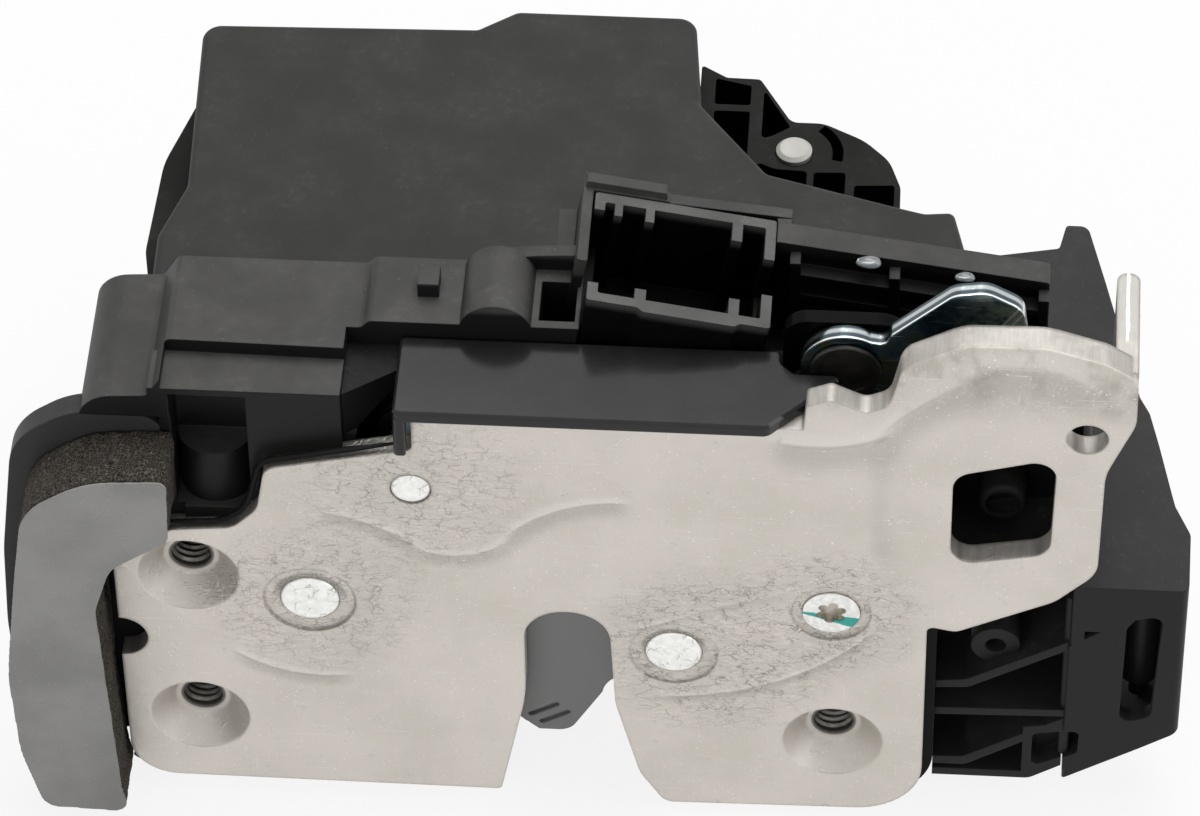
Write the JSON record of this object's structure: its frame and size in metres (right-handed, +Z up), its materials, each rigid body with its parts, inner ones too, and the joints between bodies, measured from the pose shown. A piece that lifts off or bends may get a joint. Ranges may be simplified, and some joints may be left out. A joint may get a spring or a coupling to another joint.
{
  "type": "door latch actuator",
  "caption": "Powered vehicle door latch: steel face plate with striker slot, rotary claw and pawl, sealing foam, actuator box, tilted connector socket and release levers.",
  "frame": {"origin": "centre of the striker slot's round end, on the face plate's outer face", "axes": "+X to the right along the face plate, +Y into the door away from the plate's outer face, +Z up, away from the striker slot's mouth"},
  "size_m": [0.1482, 0.0906, 0.0874],
  "materials": {
    "plate_steel": "satin zinc-plated pressing with fine scratches",
    "rivet_steel": "bright upset rivet head",
    "screw_steel": "zinc-plated six-lobe screw",
    "claw_steel": "ground steel edge",
    "sleeve_plastic": "smooth overmoulded nylon",
    "lever_zinc": "yellow and blue iridescent zinc plating",
    "spring_steel": "drawn spring wire",
    "black_plastic": "satin black moulded plastic, fine grain",
    "back_steel": "zinc-plated steel pressing",
    "bumper_rubber": "soft stop",
    "gloss_black": "glossy black moulded cap",
    "socket_plastic": "dark grey moulded plastic",
    "terminal_tin": "tinned brass blades",
    "cover_plastic": "dark grey spark-eroded texture",
    "motor_steel": "nickel-plated can",
    "worm_plastic": "natural acetal",
    "slider_plastic": "grey acetal",
    "foam": "open-cell sealing foam",
    "foam_skin": "speckled film on the foam's face",
    "switch_plastic": "dark red microswitch case",
    "copper_strip": "stamped conductor strips"
  },
  "bodies": {
    "frame": {"actuator_base": "black_plastic", "actuator_cover": "cover_plastic", "back_plate": "back_steel", "claw_rivet": "rivet_steel", "claw_spring": "spring_steel", "claw_switch": "switch_plastic", "connector_pins": "terminal_tin", "connector_socket": "socket_plastic", "face_plate": "plate_steel", "foam_seal": "foam", "latch_tray": "black_plastic", "lead_frame": "copper_strip", "motor": "motor_steel", "pawl_rivet": "rivet_steel", "pawl_spring": "spring_steel", "position_switch": "switch_plastic", "release_rivet": "rivet_steel", "seal_carrier": "black_plastic", "seal_skin": "foam_skin", "side_frame": "black_plastic", "side_housing": "black_plastic", "slider_rail": "black_plastic", "striker_bumper": "bumper_rubber", "top_cap": "gloss_black", "torx_screw": "screw_steel", "upper_housing": "black_plastic", "wheel_axle": "spring_steel"},
    "claw_body": {"claw": "claw_steel", "claw_sleeve": "sleeve_plastic"},
    "pawl_body": {"pawl": "claw_steel"},
    "release_body": {"release_lever": "lever_zinc"},
    "outside_body": {"outside_lever": "lever_zinc", "outside_lever_pin": "rivet_steel"},
    "rotor_body": {"lock_rotor": "black_plastic"},
    "wheel_body": {"drive_wheel": "worm_plastic"},
    "worm_body": {"worm": "worm_plastic"},
    "slider_body": {"lock_slider": "slider_plastic"},
    "inside_body": {"inside_lever": "lever_zinc", "inside_lever_pin": "rivet_steel"},
    "roller_body": {"slot_roller": "socket_plastic"}
  },
  "joints": [
    {"name": "claw_pivot", "type": "hinge", "parent": "frame", "child": "claw_body", "pos_m": [0.0134, 0.0061, -0.0018], "axis": [0, 1, 0], "range_deg": [0, 75], "stiffness_Nm_per_rad": 0.05, "springref_deg": -22.92, "deforming": ["claw_spring"]},
    {"name": "outside_lever_pivot", "type": "hinge", "parent": "frame", "child": "outside_body", "pos_m": [0.0339, 0.0098, 0.042], "axis": [0, 1, 0], "range_deg": [-16, 0], "stiffness_Nm_per_rad": 0.03, "springref_deg": 17.19},
    {"name": "release_lever_pivot", "type": "hinge", "parent": "frame", "child": "release_body", "pos_m": [-0.0187, 0.0098, 0.02675], "axis": [0, 1, 0], "range_deg": [0, 18]},
    {"name": "pawl_pivot", "type": "hinge", "parent": "frame", "child": "pawl_body", "pos_m": [-0.032, 0.0061, 0.0055], "axis": [0, 1, 0], "range_deg": [-16, 0], "deforming": ["pawl_spring"]},
    {"name": "lock_rotor_turn", "type": "hinge", "parent": "frame", "child": "rotor_body", "pos_m": [0.0536, 0.009, 0.0215], "axis": [0, 1, 0], "range_deg": [0, 60]},
    {"name": "drive_wheel_turn", "type": "hinge", "parent": "frame", "child": "wheel_body", "pos_m": [-0.008, 0.05, 0.0175], "axis": [0, 0, 1], "range_deg": [0, 95]},
    {"name": "worm_turn", "type": "hinge", "parent": "frame", "child": "worm_body", "pos_m": [-0.01, 0.0674, 0.0175], "axis": [1, 0, 0], "range_deg": [0, 2660]},
    {"name": "lock_slide", "type": "slide", "parent": "frame", "child": "slider_body", "axis": [1, 0, 0], "range_m": [0, 0.01]},
    {"name": "inside_lever_pivot", "type": "hinge", "parent": "frame", "child": "inside_body", "pos_m": [0.0252, 0.0677, 0.0037], "axis": [0, 0, 1], "range_deg": [0, 25], "stiffness_Nm_per_rad": 0.03, "springref_deg": -17.19},
    {"name": "roller_spin", "type": "hinge", "parent": "frame", "child": "roller_body", "pos_m": [0.072, 0.0126, -0.006], "axis": [0, 0, 1], "continuous": true}
  ],
  "couplings": [
    {"joint": "release_lever_pivot", "follows": "outside_lever_pivot", "ratio": -1.1},
    {"joint": "pawl_pivot", "follows": "outside_lever_pivot", "ratio": 0.95},
    {"joint": "worm_turn", "follows": "drive_wheel_turn", "ratio": 28},
    {"joint": "lock_slide", "follows": "drive_wheel_turn", "m_per_rad": 0.006}
  ]
}
